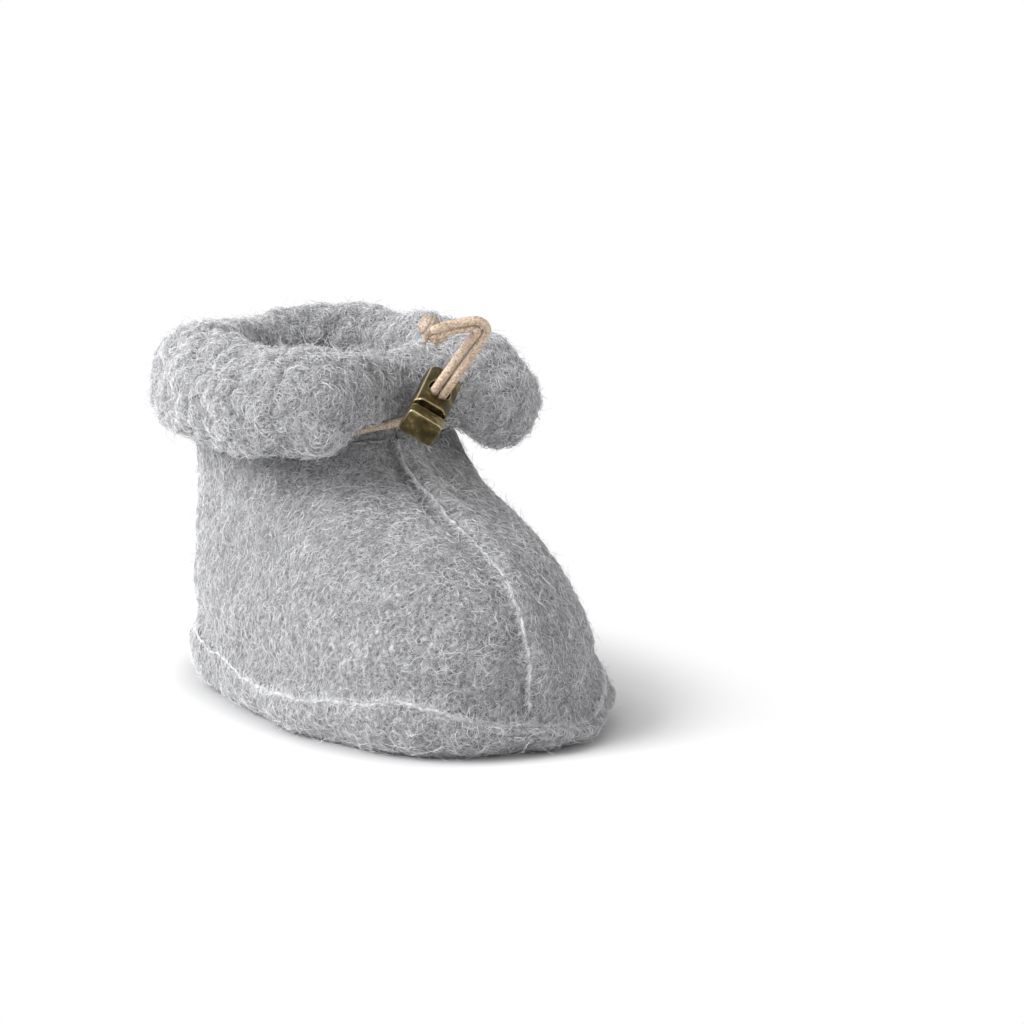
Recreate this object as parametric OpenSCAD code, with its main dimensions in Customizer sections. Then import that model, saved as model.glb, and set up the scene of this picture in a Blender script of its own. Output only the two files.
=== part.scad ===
// Baby bootie in boiled wool: lined two-panel upper, turned-down cuff,
// soft sole and a drawcord round the ankle held by a small spring lock.
// Millimetres. Z is up, the toe points to -Y, and the origin is the middle of
// the sole's underside. "right" is the wearer's right, which is -X.

/* [Foot] */
// Length of the upper at the sole seam, heel to toe
foot_len = 102; // [98:1:106]
// Width of the upper at the sole seam
foot_w = 57.8; // [56:0.2:60]
// Height of the sole seam above the floor at the side of the foot
seam_z = 8.8; // [8.4:0.2:9.6]
// How far the sole seam drops towards the toe and the heel
seam_dip = 2.6; // [1:0.2:2.8]

/* [Ankle] */
// Height of the upper's top edge
neck_z = 52; // [50:0.2:54]
// Width of the gathered ankle
neck_w = 44; // [42:1:48]
// How far the ankle's front lies ahead of the middle of the sole
neck_front = 4; // [3:0.5:6]
// How far the ankle's back lies behind the middle of the sole
neck_back = 49.5; // [47:0.5:50]

/* [Cloth] */
// Thickness of the outer wool
outer_t = 2.4; // [2:0.1:2.6]
// Thickness of the lining wool
lining_t = 2.2; // [1.8:0.1:2.4]
// Gap left between neighbouring layers of cloth
layer_gap = 0.1; // [0.05:0.05:0.2]
// Thickness of the sole wool
sole_t = 3; // [2.5:0.1:3.2]
// Thickness of the insole
insole_t = 2.4; // [2:0.1:2.6]

/* [Cuff] */
// Height of the cuff's rolled rim above the floor
cuff_top = 64.4; // [62:0.2:66]
// Height of the cuff's lower edge at the sides
cuff_low = 46; // [45:0.2:47]
// Width over the outside of the cuff
cuff_w = 65; // [62:1:68]
// How far the cuff's two front lobes reach ahead of the middle of the sole
cuff_front = 19.5; // [18:0.5:21]
// How far the cuff reaches behind the middle of the sole
cuff_back = 53.5; // [52:0.5:54]

/* [Drawcord] */
// Diameter of the braided cord
cord_d = 1.6; // [1.3:0.1:1.6]
// Height of the cord in its channel round the ankle
cord_z = 49.2; // [49:0.1:49.6]
// Angle round the ankle, from the front, at which each end comes out
exit_angle = 27; // [24:1:30]
// Rise of the doubled tail above the horizontal
tail_rise = 46; // [42:1:50]
// Turn of the doubled tail towards the wearer's left
tail_yaw = 10; // [4:1:12]
// Length of the doubled tail from the lock to the fold
tail_len = 19; // [18:0.5:20]
// Length of the cord's end from the fold to the middle of its knot
end_len = 9.6; // [9:0.1:11]
// Diameter of the end knot
knot_d = 4.4; // [4:0.1:4.8]

/* [Cord lock] */
// Length of the lock's body
lock_l = 9.8; // [9.4:0.1:10]
// Width of the lock's body
lock_w = 6.6; // [6.4:0.1:7]
// Height of the lock's body, along the cord
lock_h = 5.3; // [5:0.1:6]
// Thickness of the button's head
button_t = 2.2; // [1.8:0.1:2.6]
// Gap between the body and the button's head at rest
button_gap = 1.9; // [1.4:0.1:2]
// Turn of the lock about the cord
lock_roll = -139; // [-144:1:-130]

/* [Hidden] */

wool = "#b4b4b8";
wool_inside = "#bdbdc1";
thread = "#d2d2d4";
cord_tan = "#c8ad8c";
brass = "#6e5a30";

// Cloth edges and seam threads
edge_half = 0.75;   // half the open groove left for the seam thread
seam_r = 0.62;      // radius of the raised seam thread
stitch_r = 0.3;     // radius of the channel's stitching
seam_gap = 0.4;     // room for the stitches between the upper and the sole
passage_gap = 0.25; // room round the cord where it passes through cloth
around = 32;        // steps round half of the bootie
up = 13;            // steps from the sole seam to the ankle

// Front outline of the upper, side view: distance ahead and height
toe_s = foot_len / 2;
heel_y = foot_len / 2 - 1;
instep = [[neck_front, neck_z], [8, 30], [toe_s + 5, 42], [toe_s, seam_z]];

function mix(a, b, t) = a + (b - a) * t;
function smooth(t) = let (c = min(1, max(0, t))) c * c * (3 - 2 * c);
function unit(v) = v / norm(v);
function bezier(p, t) =
    pow(1 - t, 3) * p[0] + 3 * pow(1 - t, 2) * t * p[1]
    + 3 * (1 - t) * t * t * p[2] + pow(t, 3) * p[3];
function bezier_slope(p, t) =
    3 * pow(1 - t, 2) * (p[1] - p[0]) + 6 * (1 - t) * t * (p[2] - p[1])
    + 3 * t * t * (p[3] - p[2]);

// Half a closed egg-shaped outline. side is -1 (right) or 1 (left).
// Angle 0 is the front and 180 the back; edge keeps the ends off x = 0.
function egg_point(side, a, half_w, front_y, back_y, wide_y, nf, nb, edge) =
    let (n = cos(a) > 0 ? nf : nb)
    let (reach = cos(a) > 0 ? front_y - wide_y : back_y - wide_y)
    [
        side * (edge + (half_w - edge) * pow(max(0, sin(a)), 2 / n)),
        wide_y + reach * pow(abs(cos(a)), 2 / n)
    ];

// Outer surface of the upper, moved inwards by inset.
// t runs from 0 at the ankle to 1 at the sole seam.
function upper_point(side, t, a, inset, edge) =
    let (front = bezier(instep, t))
    let (slope = bezier_slope(instep, t))
    let (low = (neck_z - front[1]) / (neck_z - seam_z))
    let (half_w = mix(neck_w, foot_w, pow(smooth(low), 1.5)) / 2 - inset)
    let (front_in = inset * min(4, norm(slope) / abs(slope[1])))
    let (wide_y = mix(22, -6, low))
    let (p = egg_point(
        side, a, half_w,
        -(front[0] - front_in), mix(neck_back, heel_y, smooth(low)) - inset,
        wide_y, mix(1.9, 2.4, smooth(low * 1.1)), mix(2.4, 2.15, low), edge))
    [p[0], p[1], front[1] - seam_dip * pow(cos(a), 2) * pow(t, 6)];

function seam_height(a) = seam_z - seam_dip * pow(cos(a), 2);

// The line of the sole seam, grown outwards by grow, at height z
function sole_point(side, a, grow, z, edge = 0) =
    let (p = upper_point(side, 1, a, -grow, edge))
    [p[0], p[1], z];

half_turn = [for (i = [0 : around]) 180 * i / around];
levels = [for (j = [0 : up]) j / up];
neck_fall = 3 * (instep[0][1] - instep[1][1]) - 2;   // drop per unit of t at the ankle

// A solid from a stack of closed loops with equal numbers of points. Each
// end is closed by a strip between the loop's first and second halves.
module stack(loops) {
    n = len(loops[0]);
    m = len(loops);
    sides = [
        for (j = [0 : m - 2], i = [0 : n - 1])
            let (a = j * n + i, b = j * n + (i + 1) % n)
            each [[a, b, a + n], [b, b + n, a + n]]
    ];
    ends = [
        for (i = [0 : n / 2 - 2])
            let (a = i, b = i + 1, c = n - 2 - i, d = n - 1 - i, s = (m - 1) * n)
            each [
                [a, d, b], [b, d, c],
                [a + s, b + s, d + s], [b + s, c + s, d + s]
            ]
    ];
    polyhedron(points = [for (l = loops) each l], faces = concat(sides, ends));
}

// The same with every face turned round, for mirrored stacks
module stack_side(loops, side) {
    stack(side < 0 ? loops : [for (l = loops) [for (i = [len(l) - 1 : -1 : 0]) l[i]]]);
}

function join_faces(outside, inside) =
    concat(outside, [for (i = [len(inside) - 1 : -1 : 0]) inside[i]]);

// A round bar along a path. across is a direction square to all of the
// path, for a path that is vertical somewhere.
function bar_loop(p, along, r, n, across) =
    let (out = across ? across : unit(cross(along, [0, 0, 1])), high = cross(out, along))
    [for (k = [0 : n - 1]) p + r * (cos(360 * k / n) * out + sin(360 * k / n) * high)];
module bar(path, r, n = 8, across = false) {
    m = len(path) - 1;
    stack([
        for (i = [0 : m])
            bar_loop(path[i], unit(path[min(m, i + 1)] - path[max(0, i - 1)]), r, n, across)
    ]);
}

// A round bar along a closed path
module ring_bar(path, r, n = 6) {
    m = len(path);
    loops = [
        for (i = [0 : m - 1])
            bar_loop(path[i], unit(path[(i + 1) % m] - path[(i + m - 1) % m]), r, n, false)
    ];
    faces = [
        for (j = [0 : m - 1], i = [0 : n - 1])
            let (a = j * n + i, b = j * n + (i + 1) % n)
            let (c = ((j + 1) % m) * n + i, d = ((j + 1) % m) * n + (i + 1) % n)
            each [[a, b, c], [b, d, c]]
    ];
    polyhedron(points = [for (l = loops) each l], faces = faces);
}

// ---- Outer upper -------------------------------------------------------

module outer_panel(side) {
    color(wool)
    difference() {
        stack_side([
            for (t = levels)
                join_faces(
                    [for (a = half_turn) upper_point(side, t, a, 0, edge_half)],
                    [for (a = half_turn) upper_point(side, t, a, outer_t, layer_gap)])
        ], side);
        cord_passage(side);
    }
}

// The way one end of the cord takes through the cloth, out of its channel
module cord_passage(side) {
    bar(spline(cord_front(side), 3), cord_d / 2 + passage_gap, 10);
}

module outer_panel_right() { outer_panel(-1); }
module outer_panel_left() { outer_panel(1); }

// ---- Sole --------------------------------------------------------------

// Side profile of the sole band: growth beyond the seam line and height
sole_profile = [[-2.6, 0], [-0.6, 0.1], [0.8, 0.3], [1.5, 0.6], [1.2, 0.9], [0.3, 1]];

module sole_block(grow_list, top_drop) {
    full_turn = [for (i = [0 : 2 * around - 1]) 180 * i / around];
    loops = [
        for (g = grow_list)
            [for (a = full_turn)
                sole_point(a < 180 ? 1 : -1, a < 180 ? a : 360 - a, g[0],
                    g[1] * (seam_height(a) - top_drop))]
    ];
    stack([for (l = loops) [for (i = [len(l) - 1 : -1 : 0]) l[i]]]);
}

module outer_sole() {
    color(wool)
    intersection() {
        difference() {
            sole_block(concat([[-4, -0.1]], sole_profile), seam_gap);
            translate([0, 0, sole_t])
            linear_extrude(seam_z)
            egg_outline(outer_t);
        }
        translate([-foot_w, -foot_len, 0])
        cube([2 * foot_w, 2 * foot_len, 2 * seam_z]);
    }
}

// Plan outline inside the sole seam, moved inwards
module egg_outline(inset) {
    right = [for (a = half_turn) sole_point(-1, a, -inset, 0)];
    left = [for (i = [around - 1 : -1 : 1]) sole_point(1, half_turn[i], -inset, 0)];
    polygon([for (p = concat(right, left)) [p[0], p[1]]]);
}

module insole() {
    color(wool_inside)
    translate([0, 0, sole_t + layer_gap])
    linear_extrude(insole_t)
    egg_outline(outer_t + layer_gap);
}

// ---- Lining ------------------------------------------------------------

lining_in = outer_t + layer_gap;
channel_in = lining_in + cord_d + 0.7;
lining_base = sole_t + insole_t + 2 * layer_gap;

// Distance of the lining's face inside the outer surface: it steps in at
// the ankle to leave the cord's channel
function lining_inset(t) = mix(channel_in, lining_in, smooth((t - 0.09) / 0.14));

module lining(side) {
    foot_loops = [
        for (t = levels)
            let (inset = lining_inset(t))
            join_faces(
                [for (a = half_turn) upper_point(side, t, a, inset, layer_gap)],
                [for (a = half_turn)
                    upper_point(side, t, a, inset + lining_t, layer_gap)])
    ];
    base_loop = join_faces(
        [for (a = half_turn) sole_point(side, a, -lining_in, lining_base, layer_gap)],
        [for (a = half_turn)
            sole_point(side, a, -lining_in - lining_t, lining_base, layer_gap)]);
    color(wool_inside)
    stack_side(concat(foot_loops, [base_loop]), side);
}

module lining_right() { lining(-1); }
module lining_left() { lining(1); }

// ---- Cuff --------------------------------------------------------------

// Section of the turned-down cuff: part of the way from the leg opening to
// the cuff's outside, and part of the way from the lower edge to the rim.
// The first list climbs the inside and rolls over the rim, the second runs
// under the cuff and up its outside; the two meet at the widest line.
cuff_inside = [
    [0, 0.30], [0, 0.5], [0.04, 0.76], [0.2, 0.95], [0.42, 1],
    [0.65, 0.95], [0.84, 0.78], [0.96, 0.56], [1, 0.42]
];
cuff_outside = [
    [0.15, 0.29], [0.52, 0.29], [0.56, 0.28], [0.62, 0.18], [0.7, 0.06],
    [0.8, 0], [0.9, 0.02], [0.98, 0.16], [1, 0.3]
];
cuff_base = neck_z + 0.2;
flap_u = 0.56;      // where the flap's inside meets the cuff's section
flap_v = 0.285;     // share of the section's height taken by the flap
flap_gap = 1.4;     // room between the leg and the flap, for the stitching

// The cuff is pressed in at the front, where the lock sits
function front_dent(a) = 1 - 0.52 * exp(-pow(a / 21, 2));
function cuff_edge(a) = cuff_low + 4.8 * exp(-pow(a / 32, 2));
function cuff_rim(a) = cuff_top - 2 * exp(-pow(a / 40, 2));
function cuff_height(a, v) =
    v < flap_v
        ? mix(cuff_edge(a), cuff_base, v / flap_v)
        : mix(cuff_base, cuff_rim(a), (v - flap_v) / (1 - flap_v));

function cuff_point(side, a, u, v) =
    let (z = cuff_height(a, v))
    let (hole = egg_point(side, a, 14, 1, 40, 21, 2.2, 2.3, layer_gap))
    let (edge = egg_point(
        side, a, cuff_w / 2, -cuff_front, cuff_back, 17, 2.6, 2.4, layer_gap))
    let (brim = mix(hole, edge, front_dent(a)))
    let (leg = upper_point(
        side, max(0, neck_z - z) / neck_fall, a, -flap_gap, layer_gap))
    let (flap = mix([leg[0], leg[1]], brim, (u - flap_u) / (1 - flap_u)))
    let (p = v < flap_v ? flap : mix(hole, brim, u))
    [p[0], p[1], z];

module cuff(side) {
    loops = [
        for (a = half_turn)
            join_faces(
                [for (q = cuff_inside) cuff_point(side, a, q[0], q[1])],
                [for (q = cuff_outside) cuff_point(side, a, q[0], q[1])])
    ];
    color(wool_inside)
    difference() {
        stack_side(loops, side);
        cord_passage(side);
    }
}

module cuff_right() { cuff(-1); }
module cuff_left() { cuff(1); }

// ---- Seams -------------------------------------------------------------

module front_seam() {
    color(thread)
    bar([
        for (i = [0 : 20])
            let (p = upper_point(1, mix(0.105, 0.982, i / 20), 0, -0.1, 0))
            [0, p[1], p[2]]
    ], seam_r, 8, [-1, 0, 0]);
}

module back_seam() {
    color(thread)
    rotate([90, 0, 90])
    linear_extrude(2 * seam_r, center = true)
    polygon(concat(
        [for (t = levels) if (t > 0.15 && t < 0.97)
            let (p = upper_point(1, t, 180, -seam_r, 0)) [p[1], p[2]]],
        [for (i = [up : -1 : 0]) let (t = levels[i]) if (t > 0.15 && t < 0.97)
            let (p = upper_point(1, t, 180, 0.5, 0)) [p[1], p[2]]]));
}

// The thread along the sole seam lies in the corner above the sole band
module sole_seam() {
    full_turn = [for (i = [0 : 2 * around - 1]) 180 * i / around];
    color(thread)
    ring_bar([
        for (a = full_turn)
            sole_point(a < 180 ? 1 : -1, a < 180 ? a : 360 - a,
                seam_r + 0.35, seam_height(a) + seam_r + 0.05)
    ], seam_r);
}

// The stitching that closes the cord's channel, round the outside
module channel_stitching() {
    full_turn = [for (i = [0 : 2 * around - 1]) 180 * i / around];
    t = 0.08;
    color(thread)
    ring_bar([
        for (a = full_turn)
            let (p = upper_point(
                a < 180 ? 1 : -1, t, a < 180 ? a : 360 - a, -stitch_r - 0.5, 0))
            [p[0], p[1], p[2]]
    ], stitch_r, 5);
}

// ---- Drawcord ----------------------------------------------------------

pair_half = cord_d / 2 + 0.03;
tail_tilt = 90 - tail_rise;

// Directions of the lock: along the cord, along the button, and across
function turn_z(v, q) = [v[0] * cos(q) - v[1] * sin(q), v[0] * sin(q) + v[1] * cos(q), v[2]];
function turn_x(v, q) = [v[0], v[1] * cos(q) - v[2] * sin(q), v[1] * sin(q) + v[2] * cos(q)];
function lock_axis(v) = turn_z(turn_x(turn_z(v, lock_roll), tail_tilt), tail_yaw);
cord_dir = lock_axis([0, 0, 1]);
press_dir = lock_axis([1, 0, 0]);
across_dir = lock_axis([0, 1, 0]);

// Where the doubled cord enters the back of the lock
lock_back = [0.8, -14.6, 53.6];
cord_offset = 1.25;   // the spring holds the cord this far from the body's middle
hole_at = 0.45;       // middle of the cross hole, from the body's middle
lock_mid = lock_back + lock_h / 2 * cord_dir - cord_offset * press_dir;
fold_at = lock_back + (lock_h + tail_len) * cord_dir;

function channel_point(side, a) =
    let (p = upper_point(side, 0.04, a, outer_t + layer_gap + cord_d / 2 + 0.15, 0))
    [p[0], p[1], cord_z];
function exit_point(side) =
    let (p = upper_point(side, 0.04, exit_angle, outer_t / 2, 0))
    [p[0], p[1], cord_z];
function exit_direction(side) = unit([side * 0.12, -1, 0]);
function strand(side, along) =
    lock_back + along * cord_dir + side * pair_half * across_dir;

// Smooth path through a list of points
function spline_bit(p, i, t) =
    let (n = len(p) - 1)
    let (a = p[max(0, i - 1)], b = p[i], c = p[min(n, i + 1)], d = p[min(n, i + 2)])
    0.5 * (2 * b + (c - a) * t + (2 * a - 5 * b + 4 * c - d) * t * t
        + (3 * b - a - 3 * c + d) * t * t * t);
function spline(p, steps) = [
    for (i = [0 : len(p) - 2], k = [0 : steps - 1]) spline_bit(p, i, k / steps),
    p[len(p) - 1]
];

// One side of the cord: the part in front of its channel, as far as the
// fold in the tail, and the whole side from behind the heel
function cord_front(side) = [
    channel_point(side, 40),
    exit_point(side) - 1.8 * exit_direction(side) + [side * 0.9, 0, 0],
    exit_point(side) + 0.4 * exit_direction(side),
    exit_point(side) + 3.6 * exit_direction(side) - [side * 0.5, 0, -0.2],
    strand(side, -2.6),
    strand(side, 0),
    strand(side, lock_h),
    strand(side, lock_h + tail_len - 3.1)
];
function cord_side(side) = concat(
    [for (a = [172 : -12 : 52]) channel_point(side, a)], cord_front(side));

module drawcord() {
    left = cord_side(1);
    right = cord_side(-1);
    path = concat([for (i = [len(right) - 1 : -1 : 0]) right[i]], left);
    color(cord_tan)
    bar(spline(path, 3), cord_d / 2, 10);
}

// The end of the tail hangs back towards the wearer's right from the fold
end_dir = unit([-0.865, 0.484, -0.134]);
fold_axis = unit(cross(cord_dir, end_dir));
end_across = cross(fold_axis, end_dir);
knot_at = fold_at + end_len * end_dir;

module cord_end() {
    color(cord_tan)
    for (s = [-1, 1]) {
        start = fold_at + s * pair_half * end_across;
        bar([start, start + (end_len - knot_d / 2) * end_dir], cord_d / 2, 12);
    }
}

// A plain knot tied in the doubled cord, with its two cut ends
module end_knot() {
    r = knot_d / 2;
    heading = [0, acos(end_dir[2]), atan2(end_dir[1], end_dir[0])];
    color(cord_tan)
    translate(knot_at)
    rotate(heading) {
        sphere(r = r - 0.35, $fn = 40);
        rotate([62, 0, 20])
        rotate_extrude($fn = 40)
        translate([r - cord_d / 2, 0])
        circle(r = cord_d / 2, $fn = 20);
        for (s = [-1, 1])
            translate([s * 0.9, -0.8, 0])
            rotate([75 + 8 * s, 0, 14 * s])
            cylinder(h = r + 1.2, r = cord_d / 2 - 0.05, $fn = 24);
    }
}

// ---- Cord lock ---------------------------------------------------------

wall = 0.7;                 // wall at the sides of the plunger's bore
end_wall = 0.8;             // closed end of the body
stem_w = lock_w - 2 * wall - 0.1;
stem_h = 2.8;
slot_near = cord_offset - cord_d / 2 - 0.05;
slot_far = slot_near + 2.9;
stem_end = slot_near - 1;
hole_r = 2.05;             // cross hole for the doubled cord

module place_lock() {
    translate(lock_mid)
    rotate([0, 0, tail_yaw])
    rotate([tail_tilt, 0, 0])
    rotate([0, 0, lock_roll])
    children();
}

module soft_square(a, b, r) {
    square([a - 2 * r, b], center = true);
    square([a, b - 2 * r], center = true);
    for (x = [-1, 1], y = [-1, 1])
        translate([x * (a / 2 - r), y * (b / 2 - r)])
        circle(r = r, $fn = 24);
}

// A block of length l along X, rounded on its long edges and at its ends
module soft_block(l, w, h, edge_r, end_r) {
    intersection() {
        rotate([90, 0, 90])
        linear_extrude(l, center = true)
        soft_square(w, h, edge_r);
        linear_extrude(h + 1, center = true)
        soft_square(l, w, end_r);
        rotate([90, 0, 0])
        linear_extrude(w + 1, center = true)
        soft_square(l, h, end_r);
    }
}

module lock_body() {
    color(brass)
    place_lock()
    difference() {
        soft_block(lock_l, lock_w, lock_h, 1.1, 0.5);
        translate([end_wall, 0, 0])
        cube([lock_l, stem_w + 0.1, stem_h + 0.1], center = true);
        translate([hole_at, 0, 0])
        cylinder(h = lock_h + 2, r = hole_r, center = true, $fn = 48);
    }
}

module lock_button() {
    head_at = lock_l / 2 + button_gap + button_t / 2;
    stem_l = head_at - stem_end;
    color(brass)
    place_lock() {
        translate([head_at, 0, 0])
        soft_block(button_t, lock_w, lock_h, 1.1, 0.6);
        difference() {
            translate([stem_end + stem_l / 2, 0, 0])
            cube([stem_l, stem_w, stem_h], center = true);
            translate([(slot_near + slot_far) / 2, 0, 0])
            cube([slot_far - slot_near, 2 * pair_half + cord_d + 0.2, stem_h + 1], center = true);
        }
    }
}

// Coil spring between the closed end of the body and the plunger
module lock_spring() {
    wire_r = 0.12;
    coil_r = 1.25;
    turns = 3;
    from = -lock_l / 2 + end_wall + wire_r + 0.03;
    to = stem_end - wire_r - 0.03;
    steps = 20 * turns;
    color("#8a8a8e")
    place_lock()
    rotate([0, 90, 0])
    coil(from, to, coil_r, wire_r, turns, steps);
}

module coil(from, to, coil_r, wire_r, turns, steps) {
    stack([
        for (i = [0 : steps])
            let (q = 360 * turns * i / steps, h = mix(from, to, i / steps))
            let (mid = [coil_r * cos(q), coil_r * sin(q), h])
            let (out = [cos(q), sin(q), 0])
            [for (k = [0 : 5])
                mid + wire_r * (cos(60 * k) * out + sin(60 * k) * [0, 0, 1])]
    ]);
}

outer_panel_right();
outer_panel_left();
outer_sole();
lining_right();
lining_left();
insole();
cuff_right();
cuff_left();
front_seam();
back_seam();
sole_seam();
channel_stitching();
drawcord();
cord_end();
end_knot();
lock_body();
lock_button();
lock_spring();
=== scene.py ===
import math

import bmesh
import bpy
import numpy as np
from mathutils import Matrix, Vector


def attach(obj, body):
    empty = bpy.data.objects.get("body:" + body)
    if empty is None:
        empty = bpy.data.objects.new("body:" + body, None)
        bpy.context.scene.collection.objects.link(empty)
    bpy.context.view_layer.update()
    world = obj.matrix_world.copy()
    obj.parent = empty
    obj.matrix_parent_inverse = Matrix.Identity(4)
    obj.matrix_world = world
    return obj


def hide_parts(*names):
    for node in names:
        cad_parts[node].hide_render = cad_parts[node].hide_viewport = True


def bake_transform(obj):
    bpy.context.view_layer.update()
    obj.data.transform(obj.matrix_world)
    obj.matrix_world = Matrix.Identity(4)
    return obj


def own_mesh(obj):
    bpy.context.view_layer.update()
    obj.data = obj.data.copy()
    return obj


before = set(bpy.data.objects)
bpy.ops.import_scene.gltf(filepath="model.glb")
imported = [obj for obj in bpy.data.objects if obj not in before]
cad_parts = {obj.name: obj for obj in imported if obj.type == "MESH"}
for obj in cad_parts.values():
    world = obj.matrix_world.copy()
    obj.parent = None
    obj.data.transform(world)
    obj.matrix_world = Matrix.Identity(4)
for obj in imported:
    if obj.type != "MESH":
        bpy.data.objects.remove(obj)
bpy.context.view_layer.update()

scene = bpy.context.scene
rng = np.random.default_rng(20)

MM = 0.001
PI = math.pi

# ---- Sizes of the CAD part, in millimetres ------------------------------
foot_len, foot_w = 102.0, 57.8
seam_z, seam_dip = 8.8, 2.6
neck_z, neck_w, neck_front, neck_back = 52.0, 44.0, 4.0, 49.5
outer_t, lining_t, layer_gap = 2.4, 2.2, 0.1
sole_t, insole_t = 3.0, 2.4
cuff_top, cuff_low, cuff_w, cuff_front, cuff_back = 64.4, 46.0, 65.0, 19.5, 53.5
cord_d, cord_z, exit_angle = 1.6, 49.2, math.radians(27)
tail_rise, tail_yaw, lock_roll = math.radians(46), math.radians(10), math.radians(-139)
tail_len, end_len = 19.0, 9.6
lock_l, lock_w, lock_h = 9.8, 6.6, 5.3
button_t, button_gap, wall, end_wall = 2.2, 1.9, 0.7, 0.8
cord_offset, hole_at, hole_r = 1.25, 0.45, 2.05
lock_back = np.array([0.8, -14.6, 53.6])
end_dir = np.array([-0.865, 0.484, -0.134])
end_dir /= np.linalg.norm(end_dir)
toe_s = foot_len / 2
heel_y = foot_len / 2 - 1
instep = np.array([[neck_front, neck_z], [8, 30], [toe_s + 5, 42], [toe_s, seam_z]])
lining_in = outer_t + layer_gap
channel_in = lining_in + cord_d + 0.7
lining_base = sole_t + insole_t + 2 * layer_gap
cuff_base = neck_z + 0.2
flap_u, flap_v, flap_gap = 0.56, 0.285, 1.4
neck_fall = 3 * (instep[0][1] - instep[1][1]) - 2


# ---- Small helpers ------------------------------------------------------
def mix(a, b, t):
    return a + (b - a) * t


def smooth(t):
    c = np.clip(t, 0, 1)
    return c * c * (3 - 2 * c)


def around(n):
    """Angles of n even places round a full turn."""
    return 2 * PI * np.arange(n) / n


def unit(v):
    v = np.asarray(v, float)
    return v / np.maximum(np.linalg.norm(v, axis=-1, keepdims=True), 1e-12)


def bump(x, middle, width):
    return np.exp(-(((x - middle) / width) ** 2))


def lattice(i, j, k, seed):
    """A steady value from -1 to 1 for each corner of a cubic lattice."""
    h = (i * 374761393 + j * 668265263 + k * 1103515245 + seed * 1274126177) & 0xFFFFFFFF
    h = ((h ^ (h >> 13)) * 1274126177) & 0xFFFFFFFF
    h = ((h ^ (h >> 15)) * 668265263) & 0xFFFFFFFF
    return ((h ^ (h >> 16)) & 0xFFFF) / 32767.5 - 1


TILT = np.array([[0.36, 0.48, -0.8], [-0.8, 0.6, 0.0], [0.48, 0.64, 0.6]])


def noise(p, size, seed):
    """Smooth noise from about -1 to 1 with lumps of the given size."""
    q = (p @ TILT) / size + seed * 7.31
    base = np.floor(q).astype(np.int64)
    f = smooth(q - base)
    total = 0
    for dx in (0, 1):
        for dy in (0, 1):
            for dz in (0, 1):
                w = (f[..., 0] if dx else 1 - f[..., 0])
                w = w * (f[..., 1] if dy else 1 - f[..., 1])
                w = w * (f[..., 2] if dz else 1 - f[..., 2])
                total = total + w * lattice(
                    base[..., 0] + dx, base[..., 1] + dy, base[..., 2] + dz, seed)
    return total


# ---- The part's surfaces ------------------------------------------------
def bezier(t):
    t = np.asarray(t, float)[..., None]
    p = instep
    return ((1 - t) ** 3 * p[0] + 3 * (1 - t) ** 2 * t * p[1]
            + 3 * (1 - t) * t * t * p[2] + t ** 3 * p[3])


def bezier_slope(t):
    t = np.asarray(t, float)[..., None]
    p = instep
    return (3 * (1 - t) ** 2 * (p[1] - p[0]) + 6 * (1 - t) * t * (p[2] - p[1])
            + 3 * t * t * (p[3] - p[2]))


def egg(side, a, half_w, front_y, back_y, wide_y, nf, nb, edge):
    c = np.cos(a)
    n = np.where(c > 0, nf, nb)
    reach = np.where(c > 0, front_y, back_y) - wide_y
    x = side * (edge + (half_w - edge) * np.maximum(np.sin(a), 0) ** (2 / n))
    y = wide_y + reach * np.abs(c) ** (2 / n)
    return x, y


def upper_point(side, t, a, inset, edge=0.0):
    """Outer surface of the upper; t 0 at the ankle, 1 at the sole seam."""
    t, a, inset, _ = np.broadcast_arrays(t, a, inset, side)
    t = np.asarray(t, float)
    front, slope = bezier(t), bezier_slope(t)
    low = (neck_z - front[..., 1]) / (neck_z - seam_z)
    half_w = mix(neck_w, foot_w, smooth(low) ** 1.5) / 2 - inset
    steep = np.linalg.norm(slope, axis=-1) / np.abs(slope[..., 1])
    front_in = inset * np.minimum(4, steep)
    x, y = egg(side, a, half_w, -(front[..., 0] - front_in),
               mix(neck_back, heel_y, smooth(low)) - inset, mix(22, -6, low),
               mix(1.9, 2.4, smooth(low * 1.1)), mix(2.4, 2.15, low), edge)
    z = front[..., 1] - seam_dip * np.cos(a) ** 2 * t ** 6
    return np.stack([x, y, z], -1)


def seam_height(a):
    return seam_z - seam_dip * np.cos(a) ** 2


def seam_wave(side, a):
    """How the sewn sole seam wanders up and down from its mean line."""
    deg = np.degrees(a)
    near = (2.2 * bump(deg, 38, 17) - 2.5 * bump(deg, 84, 17)
            + 0.7 * bump(deg, 122, 12) - 0.5 * bump(deg, 150, 16))
    far = -2.9 * bump(deg, 21, 22) + 0.9 * bump(deg, 80, 25)
    wander = 0.22 * np.sin(deg * 0.31 + 1) + 0.13 * np.sin(deg * 0.73)
    front = -1.1 * bump(deg, 0, 12)
    return np.where(side < 0, near + front, np.minimum(far, 0.9)) + wander * np.sin(a) ** 2


def sole_point(side, a, grow, z):
    p = upper_point(side, 1.0, a, -grow)
    p[..., 2] = z
    return p


# ---- Meshes from grids --------------------------------------------------
def finish(obj, material, slot_name, node=None, body="boot"):
    """Gives a piece its material and the body it moves with, and hides the
    CAD node it stands for; slot_name is not used."""
    obj.data.materials.clear()
    obj.data.materials.append(material)
    if body:
        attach(obj, body)
    if node:
        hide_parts(node)
    return obj


def piece(name, shape, *look, **place):
    """A finished piece from its points and faces."""
    return finish(add_object(name, *shape), *look, **place)


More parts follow.
